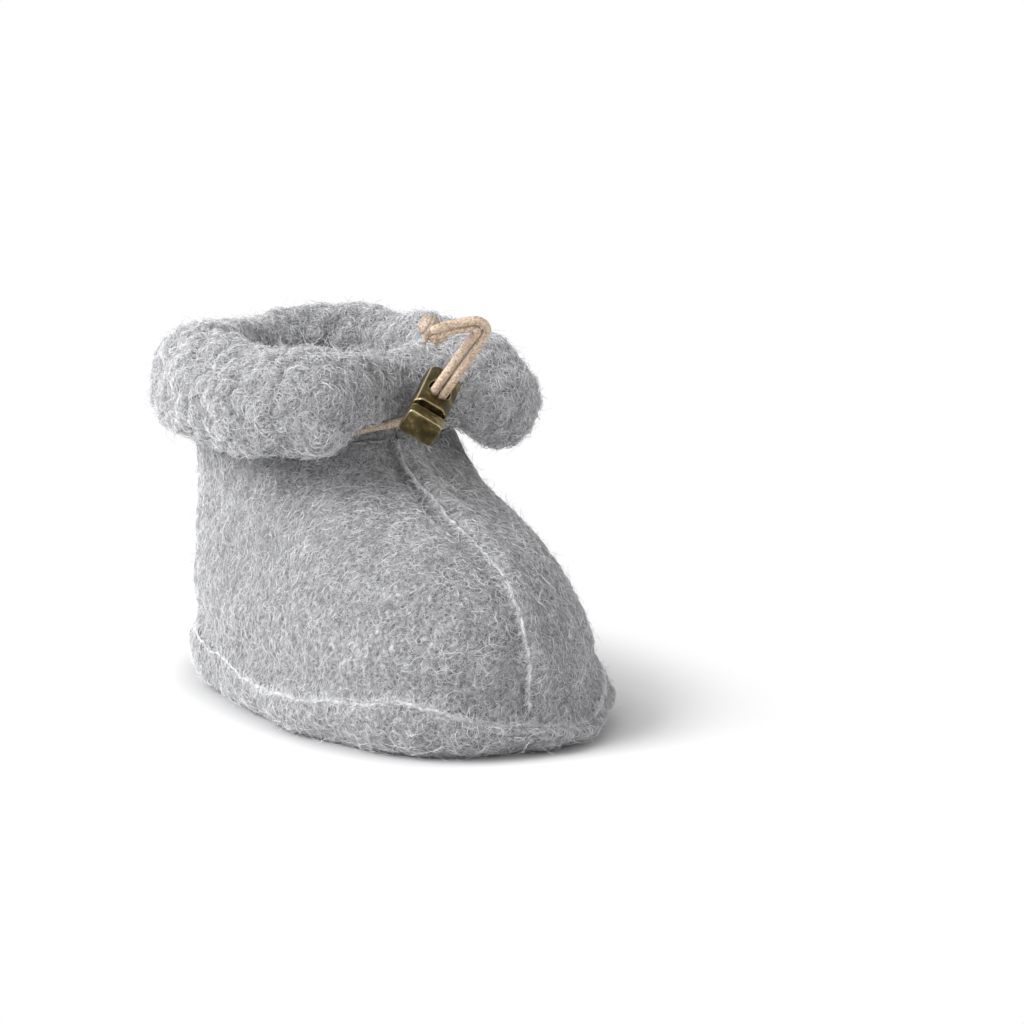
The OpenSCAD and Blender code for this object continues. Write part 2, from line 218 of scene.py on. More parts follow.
def add_object(name, verts, quads, tris=()):
    """A mesh object from millimetre points, quads and triangles."""
    verts = np.asarray(verts, float).reshape(-1, 3) * MM
    quads = np.asarray(quads).reshape(-1, 4)
    tris = np.asarray(tris, np.int64).reshape(-1, 3)
    mesh = bpy.data.meshes.new(name)
    mesh.vertices.add(len(verts))
    mesh.vertices.foreach_set("co", verts.astype(np.float32).ravel())
    mesh.loops.add(quads.size + tris.size)
    mesh.loops.foreach_set("vertex_index", np.concatenate(
        [quads.ravel(), tris.ravel()]).astype(np.int32))
    mesh.polygons.add(len(quads) + len(tris))
    starts = np.concatenate([np.arange(len(quads)) * 4,
                             quads.size + np.arange(len(tris)) * 3])
    mesh.polygons.foreach_set("loop_start", starts.astype(np.int32))
    mesh.update(calc_edges=True)
    mesh.validate()
    mesh.shade_smooth()
    obj = bpy.data.objects.new(name, mesh)
    scene.collection.objects.link(obj)
    return obj


def grid_quads(nu, nv, wrap_u=False, wrap_v=False, first=0):
    """The faces of a grid of points; a wrapped side joins its last row to its first."""
    iu = np.arange(nu if wrap_u else nu - 1)
    iv = np.arange(nv if wrap_v else nv - 1)
    i, j = np.meshgrid(iu, iv, indexing="ij")
    a = i * nv + j
    b = ((i + 1) % nu) * nv + j
    c = ((i + 1) % nu) * nv + (j + 1) % nv
    d = i * nv + (j + 1) % nv
    return np.stack([a, b, c, d], -1).reshape(-1, 4) + first


def loft(rings):
    """A closed solid from rings of points. Each end cap joins the ring's
    first half to its second half, point by point."""
    m, n = rings.shape[:2]
    k = np.arange(n // 2 - 1)
    strip = np.stack([k, k + 1, n - 2 - k, n - 1 - k], -1)
    quads = np.concatenate([grid_quads(m, n, wrap_v=True), strip[:, ::-1], strip + (m - 1) * n])
    verts = rings.reshape(-1, 3)
    if volume(verts, quads) < 0:
        quads = quads[:, ::-1]
    return verts, quads


def volume(verts, quads):
    a, b, c, d = (verts[quads[:, k]] for k in range(4))
    return ((np.cross(a, b) * c).sum() + (np.cross(a, c) * d).sum()) / 6


def grid_normals(p, wrap_u=False, wrap_v=False):
    def slope(axis, wrap):
        if wrap:
            return np.roll(p, -1, axis) - np.roll(p, 1, axis)
        return np.gradient(p, axis=axis)
    du, dv = slope(0, wrap_u), slope(1, wrap_v)
    return unit(np.cross(du, dv))


def spline_rows(c, samples, closed):
    """Smooth curves through control points along axis 1."""
    n = c.shape[1]
    s = np.arange(samples) / samples * n if closed else np.linspace(0, n - 1, samples)
    i = np.minimum(np.floor(s).astype(int), n - 1 if closed else n - 2)
    f = (s - i)[None, :, None]

    def pick(k):
        return c[:, (i + k) % n] if closed else c[:, np.clip(i + k, 0, n - 1)]
    p0, p1, p2, p3 = pick(-1), pick(0), pick(1), pick(2)
    return 0.5 * (2 * p1 + (p2 - p0) * f + (2 * p0 - 5 * p1 + 4 * p2 - p3) * f ** 2
                  + (3 * p1 - p0 - 3 * p2 + p3) * f ** 3)


def curve(points, samples):
    return spline_rows(np.array(points)[None], samples, False)[0]


# ---- Fibres -------------------------------------------------------------
class Sheet:
    """A grid of cloth surface that fibres follow."""

    def __init__(self, points, normals, wrap_u=False, wrap_v=False, weight=None):
        self.nu, self.nv = points.shape[:2]
        self.wrap_u, self.wrap_v = wrap_u, wrap_v
        du, dv = np.gradient(points, axis=0), np.gradient(points, axis=1)
        self.data = np.concatenate([points, normals, du, dv], -1)
        area = np.linalg.norm(du, axis=-1) * np.linalg.norm(dv, axis=-1)
        if weight is not None:
            area = area * weight
        self.area = area[: self.nu - 1, : self.nv - 1]

    def fold(self, u, v):
        """Keeps grid coordinates on the sheet: they wrap or turn back."""
        kept = []
        for x, n, wrap in ((u, self.nu, self.wrap_u), (v, self.nv, self.wrap_v)):
            top = n - 1.001
            x = x % (n - 1) if wrap else top - np.abs(top - np.abs(x))
            kept.append(np.clip(x, 0, top))
        return kept

    def at(self, u, v):
        i, j = u.astype(int), v.astype(int)
        f, g = (u - i)[:, None], (v - j)[:, None]
        d = self.data
        return ((d[i, j] * (1 - f) + d[i + 1, j] * f) * (1 - g)
                + (d[i, j + 1] * (1 - f) + d[i + 1, j + 1] * f) * g)


SWAY, JITTER = 0.28, 0.03       # how unevenly a fibre turns, and rises
STEP_LIMIT = 3                  # cells of the sheet one step may cross


def fibre_paths(sheet, count, length, curl, lift, steps, loose):
    """Curly paths over a sheet: each wanders over the surface on a bent
    course, rising a little and coming back, or standing loose at one end."""
    share = sheet.area.ravel() / sheet.area.sum()
    cell = rng.choice(len(share), count, p=share)
    u = cell // (sheet.nv - 1) + rng.random(count)
    v = cell % (sheet.nv - 1) + rng.random(count)
    way = rng.uniform(0, 2 * PI, count)
    turn = rng.choice([-1.0, 1.0], count) / rng.uniform(*curl, count)
    span = rng.uniform(*length, count)
    rise = rng.uniform(*lift, count)
    free = rng.random(count) < loose
    step = span / steps
    points, normals = [], []
    for k in range(steps + 1):
        u, v = sheet.fold(u, v)
        s = sheet.at(u, v)
        f = k / steps
        arch = np.where(free, 0.2 + 1.9 * f * f, np.sin(PI * (0.08 + 0.84 * f)))
        height = 0.02 + rise * arch + rng.normal(0, JITTER, count)
        n = unit(s[:, 3:6])
        points.append(s[:, :3] + n * np.maximum(height, 0.0)[:, None])
        normals.append(n)
        way = way + turn * step + rng.normal(0, SWAY, count)
        turn = turn * np.where(rng.random(count) < 0.08, -1, 1)
        pu, pv = s[:, 6:9], s[:, 9:12]
        east = unit(pu - (pu * n).sum(-1, keepdims=True) * n)
        north = np.cross(n, east)
        go = (np.cos(way)[:, None] * east + np.sin(way)[:, None] * north) * step[:, None]
        uu, uv, vv = (pu * pu).sum(-1), (pu * pv).sum(-1), (pv * pv).sum(-1)
        gu, gv = (go * pu).sum(-1), (go * pv).sum(-1)
        area = np.maximum(uu * vv - uv * uv, 0.02 * uu * vv + 1e-9)
        u = u + np.clip((gu * vv - gv * uv) / area, -STEP_LIMIT, STEP_LIMIT)
        v = v + np.clip((gv * uu - gu * uv) / area, -STEP_LIMIT, STEP_LIMIT)
    return np.stack(points, 1), np.stack(normals, 1)


def tubes(paths, normals, radius):
    """Closed three-sided tubes along many paths at once."""
    count, rings = paths.shape[:2]
    along = unit(np.gradient(paths, axis=1))
    out = unit(np.cross(along, normals))
    high = np.cross(out, along)
    taper = np.ones(rings)
    taper[0], taper[-1] = 0.45, 0.35
    r = radius[:, None, None] * taper[None, :, None]
    corners = [paths + r * (math.cos(q) * out + math.sin(q) * high)
               for q in (PI / 2, PI / 2 + 2 * PI / 3, PI / 2 + 4 * PI / 3)]
    verts = np.stack(corners, 2).reshape(-1, 3)
    k, c = np.meshgrid(np.arange(rings - 1), np.arange(3), indexing="ij")
    one = np.stack([k * 3 + c, k * 3 + (c + 1) % 3,
                    (k + 1) * 3 + (c + 1) % 3, (k + 1) * 3 + c], -1).reshape(-1, 4)
    base = (np.arange(count) * rings * 3)[:, None, None]
    quads = (one[None] + base).reshape(-1, 4)
    ends = np.array([[0, 2, 1], [rings * 3 - 3, rings * 3 - 2, rings * 3 - 1]])
    tris = (ends[None] + base).reshape(-1, 3)
    return verts, quads, tris


FACE_LIMIT = 190000             # triangles in one piece


def fibre_object(name, paths, normals, radius, shade, slot_name, floor=None):
    """One object of fibres, or several when they would be too many faces."""
    if floor is not None:
        paths[..., 2] = np.maximum(paths[..., 2], floor)
    name = f"{name}_{SHADE_NAMES[shade]}"
    faces_each = (paths.shape[1] - 1) * 6 + 2
    parts = math.ceil(len(paths) / (FACE_LIMIT // faces_each))
    for k, part in enumerate(np.array_split(np.arange(len(paths)), parts)):
        piece(name if parts == 1 else f"{name}_{k + 1}",
              tubes(paths[part], normals[part], radius[part]), FIBRE_SHADES[shade], slot_name)


# ---- Materials ----------------------------------------------------------
class Nodes:
    """The nodes of a material or world. An input is given as a value, or as
    the socket to link to it."""

    def __init__(self, owner):
        owner.use_nodes = True
        self.tree = owner.node_tree
        self.shader = self.tree.nodes.get("Principled BSDF")

    def put(self, node, inputs):
        for key, value in inputs.items():
            if isinstance(value, bpy.types.NodeSocket):
                self.tree.links.new(value, node.inputs[key])
            else:
                node.inputs[key].default_value = value

    def add(self, kind, result, inputs, **settings):
        """Adds a node and returns the named output."""
        node = self.tree.nodes.new("ShaderNode" + kind)
        for key, value in settings.items():
            setattr(node, key, value)
        self.put(node, inputs)
        return node.outputs[result]

    def place(self):
        return self.add("TexCoord", "Object", {})

    def seen(self):
        return self.add("LightPath", "Is Camera Ray", {})

    def noise(self, place, scale, detail, rough=0.55):
        return self.add("TexNoise", "Fac", {
            "Vector": place, "Scale": scale, "Detail": detail, "Roughness": rough})

    def ramp(self, source, *stops):
        colour = self.add("ValToRGB", "Color", {"Fac": source})
        elements = colour.node.color_ramp.elements
        while len(elements) < len(stops):
            elements.new(0.5)
        for e, (at, shade) in zip(elements, stops):
            e.position = at
            e.color = (*shade, 1)
        return colour

    def blend(self, factor, a, b, how="MIX"):
        return self.add("Mix", "Result", {"Factor": factor, "A": a, "B": b},
                        data_type="RGBA", blend_type=how)

    def sum(self, a, b):
        return self.add("Math", "Value", {0: a, 1: b}, operation="ADD")

    def bumps(self, height, strength, distance):
        return self.add("Bump", "Normal", {
            "Strength": strength, "Distance": distance, "Height": height})


def new_material(name):
    m = bpy.data.materials.new(name)
    return m, Nodes(m)


def wool_material(name, dark, light, grain, depth=0.0004):
    """Felted wool: small dark pores, painted shade in the low spots of its curly grain, which
    also keeps its own tone, and cloudy heather.
    """
    m, g = new_material(name)
    place = g.place()
    fine = g.noise(place, grain, 4.0, 0.65)
    cloud = g.noise(place, 150.0, 2.0)
    pores = g.add("TexVoronoi", "Distance", {"Vector": place, "Scale": grain * 0.75})
    # low grain is painted dark: partly the wool's own tone, partly painted shade in its pores
    colour = g.ramp(fine, (0.36, dark), (0.62, light))
    clouds = g.ramp(cloud, (0.3, (0.72, 0.72, 0.74)), (0.7, (1, 1, 1)))
    g.put(g.shader, {
        "Base Color": g.blend(0.55, colour, clouds, "MULTIPLY"),
        "Normal": g.bumps(g.sum(fine, pores), 0.9, depth),
        "Roughness": 0.95, "Sheen Weight": 0.25, "Sheen Roughness": 0.5})
    return m


def fibre_material(name, grey):
    """One plain shade of wool; the heather comes from mixing shades."""
    m, g = new_material(name)
    g.put(g.shader, {"Base Color": (grey, grey, grey * 1.02, 1),
                     "Roughness": 0.7, "Sheen Weight": 0.1})
    return m


def cord_material(name, tone):
    """Waxed cotton braid: tan, darker in the grooves as painted shade, slightly glossy."""
    m, g = new_material(name)
    place = g.place()
    grain = g.noise(place, 2600.0, 4.0, 0.6)
    patch = g.noise(place, 420.0, 3.0, 0.6)
    dark = [part * tone for part in (0.21, 0.145, 0.095)]
    light = [part * tone for part in (0.62, 0.50, 0.385)]
    # the ramp runs from the cord's shaded to its lit colour: painted shade where the grain is
    # low, painted light where it is high
    colour = g.ramp(grain, (0.32, dark), (0.62, light))
    worn = g.ramp(patch, (0.35, (0.78, 0.72, 0.68)), (0.65, (1, 1, 1)))
    g.put(g.shader, {"Base Color": g.blend(0.8, colour, worn, "MULTIPLY"),
                     "Normal": g.bumps(grain, 0.5, 0.0001), "Roughness": 0.5})
    return m


def brass_material():
    """Antique brass: dark olive patina, brighter on its edges, partly where it rubs and partly
    as a painted highlight.
    """
    m, g = new_material("antique_brass")
    patch = g.noise(g.place(), 420.0, 5.0, 0.6)
    pointed = g.add("NewGeometry", "Pointiness", {})
    # edges painted brighter: partly rubbed wear, partly painted highlight
    rub_and_highlight = g.add("Math", "Value", {0: pointed, 1: 6.0, 2: -2.95}, operation="MULTIPLY_ADD")
    g.put(g.shader, {
        "Base Color": g.ramp(g.sum(rub_and_highlight, patch), (0.36, (0.035, 0.029, 0.014)),
                             (0.6, (0.105, 0.08, 0.034)), (0.95, (0.5, 0.42, 0.24))),
        "Roughness": g.add("MapRange", "Result", {
            "Value": patch, "To Min": 0.28, "To Max": 0.5}),
        "Normal": g.bumps(patch, 0.25, 0.0001), "Metallic": 1.0})
    return m


def steel_material():
    m, g = new_material("spring_steel")
    drawn = g.noise(g.place(), 900.0, 2.0)
    g.put(g.shader, {
        "Base Color": g.ramp(drawn, (0.3, (0.33, 0.33, 0.34)), (0.7, (0.55, 0.55, 0.56))),
        "Metallic": 1.0, "Roughness": 0.3})
    return m


# the felt under the fibres is darker than them, partly heather and partly painted shade between
# the fibres
outer_wool = wool_material("outer_wool", (0.11, 0.11, 0.113), (0.42, 0.42, 0.43), 1250.0)
lining_wool = wool_material("lining_wool", (0.15, 0.15, 0.154), (0.52, 0.52, 0.53), 1000.0)
thread_wool = wool_material("seam_yarn", (0.34, 0.34, 0.345), (0.70, 0.70, 0.71),
                            1300.0, 0.0002)
hidden_thread = wool_material("grey_thread", (0.14, 0.14, 0.14), (0.34, 0.34, 0.35),
                              1300.0, 0.0002)
SHADE_NAMES = ["dark", "mid", "light", "pale"]
FIBRE_SHADES = [fibre_material(f"fibre_{name}", grey)
                for name, grey in zip(SHADE_NAMES, (0.27, 0.40, 0.54, 0.70))]
waxed_cord = cord_material("waxed_cord", 1.0)
# the knot's cord is made darker than the rest of the cord
knot_cord = cord_material("darker_knot_cord", 0.72)
brass = brass_material()
steel = steel_material()
DENSITY = 1.0


def wool_fibres(name, sheet, count, lift, shades, slot_name, length, thick, curl,
                steps=6, loose=0.04, floor=None, keep=None):
    """A coat of fibres over one sheet of cloth; shades holds the share of
    each shade, from dark to pale."""
    for shade, share in enumerate(shades):
        n = int(int(count * DENSITY) * share)
        if n == 0:
            continue
        paths, normals = fibre_paths(sheet, n, length, curl, lift, steps, loose)
        radius = rng.uniform(*thick, n) / 2
        if keep is not None:
            good = keep(paths)
            paths, normals, radius = paths[good], normals[good], radius[good]
        fibre_object(name, paths, normals, radius, shade, slot_name, floor)


# ---- Directions of the cord lock ---------------------------------------
def turn_z(v, q):
    return np.array([v[0] * math.cos(q) - v[1] * math.sin(q),
                     v[0] * math.sin(q) + v[1] * math.cos(q), v[2]])


def turn_x(v, q):
    return np.array([v[0], v[1] * math.cos(q) - v[2] * math.sin(q),
                     v[1] * math.sin(q) + v[2] * math.cos(q)])


def lock_axis(v):
    return turn_z(turn_x(turn_z(v, lock_roll), PI / 2 - tail_rise), tail_yaw)


cord_dir = lock_axis([0, 0, 1])
press_dir = lock_axis([1, 0, 0])
across_dir = lock_axis([0, 1, 0])
fold_at = lock_back + (lock_h + tail_len) * cord_dir
fold_axis = unit(np.cross(cord_dir, end_dir))
knot_at = fold_at + end_len * end_dir
LOCK_CLEAR = 6.2 * 0.6


def clear_of_lock(paths):
    """Which fibres stay out of the way of the lock and the doubled cord."""
    rel = paths - lock_back
    along = np.clip(rel @ cord_dir, -1, lock_h + tail_len)
    off = np.linalg.norm(rel - along[..., None] * cord_dir, axis=-1)
    return off.min(1) > LOCK_CLEAR


# ---- Outer upper --------------------------------------------------------
AROUND, UP = 176, 96
EDGE = 0.05             # each side panel starts this far from the middle


def upper_relief(side, p, t, walked):
    """Height of the cloth above the plain surface: lumps, a groove or welt
    beside the front seam, and a groove above the sole. walked is the way
    round from that seam."""
    h = 0.42 * noise(p, 8.0, 1) + 0.28 * noise(p, 3.4, 2) + 0.2 * noise(p, 1.25, 3)
    fade = smooth((t - 0.02) / 0.12) * mix(1.0, 0.35, smooth((t - 0.45) / 0.4))
    if side < 0:
        h = h - 1.25 * bump(walked, 1.9, 1.7) * fade
    else:
        h = h + 1.35 * bump(walked, 2.0, 2.0) * mix(0.6, 1, fade)
    h = h - 0.7 * bump(t, 0.955, 0.03) - 0.35
    if side > 0:
        h = h - 0.6 * smooth(walked / 8)
    return np.maximum(h, -1.9) * smooth((1 - t) / 0.03) * mix(0.3, 1, smooth(t / 0.1))


def upper_shell(side, name, node):
    a = np.linspace(0, PI, AROUND)
    t = np.linspace(0, 1, UP)
    aa, tt = np.meshgrid(a, t, indexing="ij")
    p = upper_point(side, tt, aa, 0.0, EDGE)
    walked = np.cumsum(np.concatenate(
        [np.zeros((1, UP)), np.linalg.norm(np.diff(p, axis=0), axis=-1)], 0), 0)
    n = grid_normals(p) * -side
    n[0, :, 0] = n[-1, :, 0] = 0
    outside = p + unit(n) * upper_relief(side, p, tt, walked)[..., None]
    inside = upper_point(side, tt, aa, outer_t, EDGE)
    for surface in (outside, inside):
        surface[..., 2] += seam_wave(side, aa) * tt ** 5
    piece(name, loft(np.concatenate([outside, inside[:, ::-1]], 1)), outer_wool,
          "outer_wool", node)
    return outside, grid_normals(outside) * -side


# ---- Sole ---------------------------------------------------------------
SOLE_AROUND, BAND = 352, 30
band_profile = np.array([[-4.0, 0], [-1.7, 0.08], [0.0, 0.27], [1.0, 0.52],
                         [1.4, 0.74], [1.1, 0.93], [0.3, 1.0]])


def full_turn(n):
    """Angle and side at n places round the whole bootie, from the front."""
    turn = around(n)
    return np.where(turn <= PI, turn, 2 * PI - turn), np.where(turn <= PI, 1.0, -1.0)


def sole_shell():
    """The turned-up sole: a band round the outside, its floor, and the inside."""
    a, side = full_turn(SOLE_AROUND)
    height = seam_height(a) + seam_wave(side, a) - 0.15
    c = curve(band_profile, BAND)
    lip = 1.15 * bump(np.degrees(a), 0, 50) * np.where(side > 0, 1.1, 0.8)
    lip_shape = bump(c[:, 1], 0.76, 0.4)
    grow = c[None, :, 0] + lip[:, None] * lip_shape[None]
    band = upper_point(side[:, None], 1.0, a[:, None], -grow)
    band[..., 2] = c[None, :, 1] * height[:, None]
    n = grid_normals(band, wrap_u=True)
    if (n[0, BAND // 2] @ np.array([0, -1.0, 0])) < 0:
        n = -n
    lumps = (0.75 * noise(band, 6.5, 11) + 0.34 * noise(band, 2.6, 12)
             + 0.16 * noise(band, 1.3, 13) - 0.4)
    ramp = smooth(c[:, 1] / 0.25) * smooth((1 - c[:, 1]) / 0.12)
    band = band + n * (lumps * ramp[None])[..., None]
    band[..., 2] = np.maximum(band[..., 2], 0.0)
    inner_top = sole_point(side, a, -outer_t, height)
    inner_low = sole_point(side, a, -outer_t, sole_t + 0 * a)
    rings = np.concatenate([band, inner_top[:, None], inner_low[:, None]], 1)
    m = rings.shape[1]
    quads = [grid_quads(SOLE_AROUND, m, wrap_u=True)]
    verts, tris = [rings.reshape(-1, 3)], []
    half = SOLE_AROUND // 2
    first = SOLE_AROUND * m
    for column, flip in ((0, False), (m - 1, True)):
        # rows of points from the left edge to the right edge close the face
        rows, across = half - 1, 24
        left = rings[1:half, column]
        right = rings[:half:-1, column]
        s = np.linspace(0, 1, across)[None, :, None]
        grid = left[:, None] * (1 - s) + right[:, None] * s
        if not flip:
            sink = 0.35 * np.maximum(noise(grid, 5.0, 14), 0) + 0.15 * smooth(
                noise(grid, 1.8, 15))
            edge = np.sin(PI * s[..., 0]) ** 0.5
            grid[..., 2] += sink * edge
        verts.append(grid.reshape(-1, 3))
        q = grid_quads(rows, across, first=first)
        quads.append(q[:, ::-1] if flip else q)
        ids = first + np.arange(rows * across).reshape(rows, across)
        for end, tip in ((0, 0), (-1, half)):
            row = ids[end]
            middle = np.full(across - 1, tip * m + column)
            tris.append(np.stack([row[:-1], row[1:], middle], -1))
        first += rows * across
    return np.concatenate(verts), np.concatenate(quads), np.concatenate(tris), band, n


def weld(obj, distance=2e-6):
    """Joins points that lie on each other and turns all faces outwards."""
    b = bmesh.new()
    b.from_mesh(obj.data)
    bmesh.ops.remove_doubles(b, verts=b.verts, dist=distance)
    bmesh.ops.dissolve_degenerate(b, edges=b.edges, dist=1e-7)
    bmesh.ops.recalc_face_normals(b, faces=b.faces)
    b.to_mesh(obj.data)
    b.free()
    obj.data.shade_smooth()


# ---- Cuff ---------------------------------------------------------------
CUFF_AROUND, CUFF_SECTION = 440, 132
cuff_section = [
    [0, 0.30], [0, 0.5], [0.04, 0.76], [0.2, 0.95], [0.42, 1],
    [0.65, 0.95], [0.84, 0.78], [0.96, 0.56], [1, 0.42], [1, 0.3],
    [0.98, 0.16], [0.9, 0.02], [0.8, 0], [0.7, 0.06], [0.62, 0.18],
    [0.56, 0.28], [0.52, 0.29], [0.15, 0.29]]


def cuff_point(side, a, u, v):
    """A point of the cuff's section: u outwards and v upwards, from 0 to 1."""
    deg = np.degrees(a)
    dent = 1 - 0.52 * np.exp(-(deg / 21) ** 2)
    low = cuff_low + 4.8 * np.exp(-(deg / 32) ** 2)
    rim = cuff_top - 2 * np.exp(-(deg / 40) ** 2)
    z = mix(low, cuff_base, v / flap_v) if v < flap_v \
        else mix(cuff_base, rim, (v - flap_v) / (1 - flap_v))
    hx, hy = egg(side, a, 14, 1, 40, 21, 2.2, 2.3, layer_gap)
    ex, ey = egg(side, a, cuff_w / 2, -cuff_front, cuff_back, 17, 2.6, 2.4, layer_gap)
    bx, by = mix(hx, ex, dent), mix(hy, ey, dent)
    if v < flap_v:
        leg = upper_point(side, np.maximum(0, neck_z - z) / neck_fall, a,
                          -flap_gap, layer_gap)
        q = (u - flap_u) / (1 - flap_u)
        x, y = mix(leg[..., 0], bx, q), mix(leg[..., 1], by, q)
    else:
        x, y = mix(hx, bx, u), mix(hy, by, u)
    return np.stack([x, y, z + 0 * x], -1)


def cuff_ring():
    """The rolled cuff, and how much of each row round it can be seen."""
    a, side = full_turn(CUFF_AROUND)
    control = np.stack([cuff_point(side, a, u, v) for u, v in cuff_section], 1)
    deg = np.degrees(a)[:, None]
    near = (side < 0)[:, None]
    share = np.array([v for _, v in cuff_section])[None]
    out = np.array([u for u, _ in cuff_section])[None]
    rim_part = smooth((share - 0.45) / 0.5)
    low_part = smooth((0.3 - share) / 0.25) * smooth((out - 0.6) / 0.2)
    lift = np.where(near, 1.2 * bump(deg, 116, 24) - 0.7 * bump(deg, 76, 22) - 0.3,
                    0.9 * bump(deg, 140, 25) - 0.6 * bump(deg, 60, 20))
    drop = np.where(near, -1.3 * bump(deg, 32, 9) + 2.3 * bump(deg, 16, 8)
                    + 0.7 * bump(deg, 90, 20),
                    -2.0 * bump(deg, 40, 17) + 0.6 * bump(deg, 100, 25))
    control[..., 2] += lift * rim_part + drop * low_part
    p = spline_rows(control, CUFF_SECTION, True)
    n = grid_normals(p, True, True)
    centre = p.mean(1, keepdims=True)
    if ((p - centre) * n).sum() < 0:
        n = -n
    k = np.arange(CUFF_SECTION) / CUFF_SECTION * len(cuff_section)
    shown = smooth((k + 0.2) / 1.2) * smooth((13.2 - k) / 1.6)
    lumps = (0.9 * noise(p, 9.0, 21) + 0.55 * (2 * np.abs(noise(p, 6.2, 22)) - 0.5)
             + 0.62 * (2 * np.abs(noise(p, 3.1, 23)) - 0.5) + 0.36 * noise(p, 1.7, 24)
             + 0.2 * noise(p, 1.0, 25) - 0.55)
    heel_side = bump(deg, 125, 38) * near * np.sin(PI * np.clip((k - 3.0) / 9.5, 0, 1))[None]
    lumps = lumps - 1.9 * heel_side
    p = p + n * (lumps * mix(0.08, 1.0, shown)[None])[..., None]
    n = grid_normals(p, True, True)
    if ((p - centre) * n).sum() < 0:
        n = -n
    return p, n, shown


# ---- Building: upper, sole, cuff ----------------------------------------
right_out, right_n = upper_shell(-1, "outer_right", "outer_panel_right")
left_out, left_n = upper_shell(1, "outer_left", "outer_panel_left")

v, q, t, band, band_n = sole_shell()
sole = add_object("sole", v, q, t)
weld(sole)
finish(sole, outer_wool, "outer_wool", "outer_sole")

cuff_p, cuff_n, cuff_shown = cuff_ring()
half = CUFF_AROUND // 2
CUFF_SIDES = (("cuff_left", np.arange(0, half + 1)),
              ("cuff_right", np.arange(half, CUFF_AROUND + 1) % CUFF_AROUND))
for name, pick in CUFF_SIDES:
    piece(f"{name}_fleece", loft(cuff_p[pick]), lining_wool, "lining_wool", name)


# ---- Lining and insole --------------------------------------------------
def lining_shell(side, node):
    a = np.linspace(0, PI, 120)
    t = np.linspace(0, 1, 60)
    aa, tt = np.meshgrid(a, t, indexing="ij")
    inset = mix(channel_in, lining_in, smooth((tt - 0.09) / 0.14))
    outside = upper_point(side, tt, aa, inset, EDGE)
    p = upper_point(side, tt, aa, inset + lining_t, EDGE)
    base = sole_point(side, a, -lining_in - lining_t, lining_base + 0 * a)
    base_out = sole_point(side, a, -lining_in, lining_base + 0 * a)
    n = grid_normals(p) * side
    n[0, :, 0] = n[-1, :, 0] = 0
    h = 0.45 * noise(p, 5.0, 31) + 0.3 * noise(p, 2.4, 32)
    p = p + unit(n) * (h * smooth((1 - tt) / 0.05))[..., None]
    inside = np.concatenate([p, base[:, None]], 1)
    outside = np.concatenate([outside, base_out[:, None]], 1)
    piece(f"{node}_fleece", loft(np.concatenate([outside, inside[:, ::-1]], 1)),
          lining_wool, "lining_wool", node)
    return p, unit(n)


linings = [(node, *lining_shell(side, node))
           for side, node in ((-1, "lining_right"), (1, "lining_left"))]


def insole_shell():
    """A slab with a soft lumpy top that stops inside the sole's wall."""
    rows, across = 110, 64
    a = np.linspace(0.03, PI - 0.03, rows)
    edge = upper_point(1.0, 1.0, a, outer_t + layer_gap)
    s = np.linspace(-1, 1, across)
    x = edge[:, None, 0] * np.sin(s * PI / 2)[None]
    y = edge[:, None, 1] + 0 * x
    low = sole_t + layer_gap
    rim = (1 - np.abs(s)[None] ** 14) * smooth((np.sin(a) - 0.03) / 0.08)[:, None]
    top = np.stack([x, y, low + insole_t * mix(0.55, 1, rim)], -1)
    soft = 0.22 * noise(top, 4.5, 41) + 0.14 * noise(top, 1.9, 42)
    top[..., 2] += soft * rim - 0.2 * rim
    under = np.stack([x, y, low + 0 * x], -1)
    piece("insole_fleece", loft(np.concatenate([top, under[:, ::-1]], 1)), lining_wool,
          "lining_wool", "insole")
    return top


insole_top = insole_shell()

# ---- Fibre coats --------------------------------------------------------
FELT = {"length": (1.3, 3.4), "thick": (0.05, 0.095), "curl": (0.35, 1.2), "steps": 4}
CURLS = {"length": (1.6, 4.4), "thick": (0.06, 0.11), "curl": (0.4, 1.3), "steps": 5,
         "loose": 0.08}
PILE = {"length": (2.6, 5.5), "thick": (0.13, 0.2), "curl": (0.5, 1.6), "steps": 5,
        "shades": (0.2, 0.4, 0.4, 0)}
STRAY = {"thick": (0.05, 0.075), "curl": (0.7, 2.2), "shades": (0, 0, 0, 1), "loose": 0.6}

outer_weight = np.ones((AROUND, UP))
outer_weight[:, :6] = 0.25      # few fibres under the cuff
for name, p, n in (("outer_right", right_out, right_n), ("outer_left", left_out, left_n)):
    sheet = Sheet(p, n, weight=outer_weight)
    wool_fibres(f"{name}_fibres", sheet, 22000, (0.06, 0.42), (0.22, 0.38, 0.28, 0.12),
                "outer_wool", keep=clear_of_lock, **FELT)
    wool_fibres(f"{name}_flyaways", sheet, 800, (0.4, 1.0), slot_name="outer_wool",
                length=(2.5, 6.0), keep=clear_of_lock, **STRAY)

sheet = Sheet(*(np.concatenate([rows, rows[:1]], 0) for rows in (band, band_n)), wrap_u=True)
wool_fibres("sole_fibres", sheet, 10500, (0.06, 0.45), (0.20, 0.36, 0.30, 0.14),
            "outer_wool", floor=0.06, **FELT)
wool_fibres("sole_flyaways", sheet, 800, (0.4, 1.1), slot_name="outer_wool",
            length=(2.5, 6.0), floor=0.05, **STRAY)

shown = np.append(cuff_shown, cuff_shown[0])
for name, pick in CUFF_SIDES:
    p, n = (np.concatenate([rows[pick], rows[pick][:, :1]], 1) for rows in (cuff_p, cuff_n))
    weight = np.tile(np.maximum(shown - 0.1, 0), (len(pick), 1))
    sheet = Sheet(p, n, wrap_v=True, weight=weight)
    wool_fibres(f"{name}_fibres", sheet, 21000, (0.12, 0.95), (0.11, 0.30, 0.37, 0.22),
                "lining_wool", keep=clear_of_lock, **CURLS)
    wool_fibres(f"{name}_flyaways", sheet, 1100, (0.6, 1.4), slot_name="lining_wool",
                length=(3.0, 7.0), keep=clear_of_lock, **STRAY)

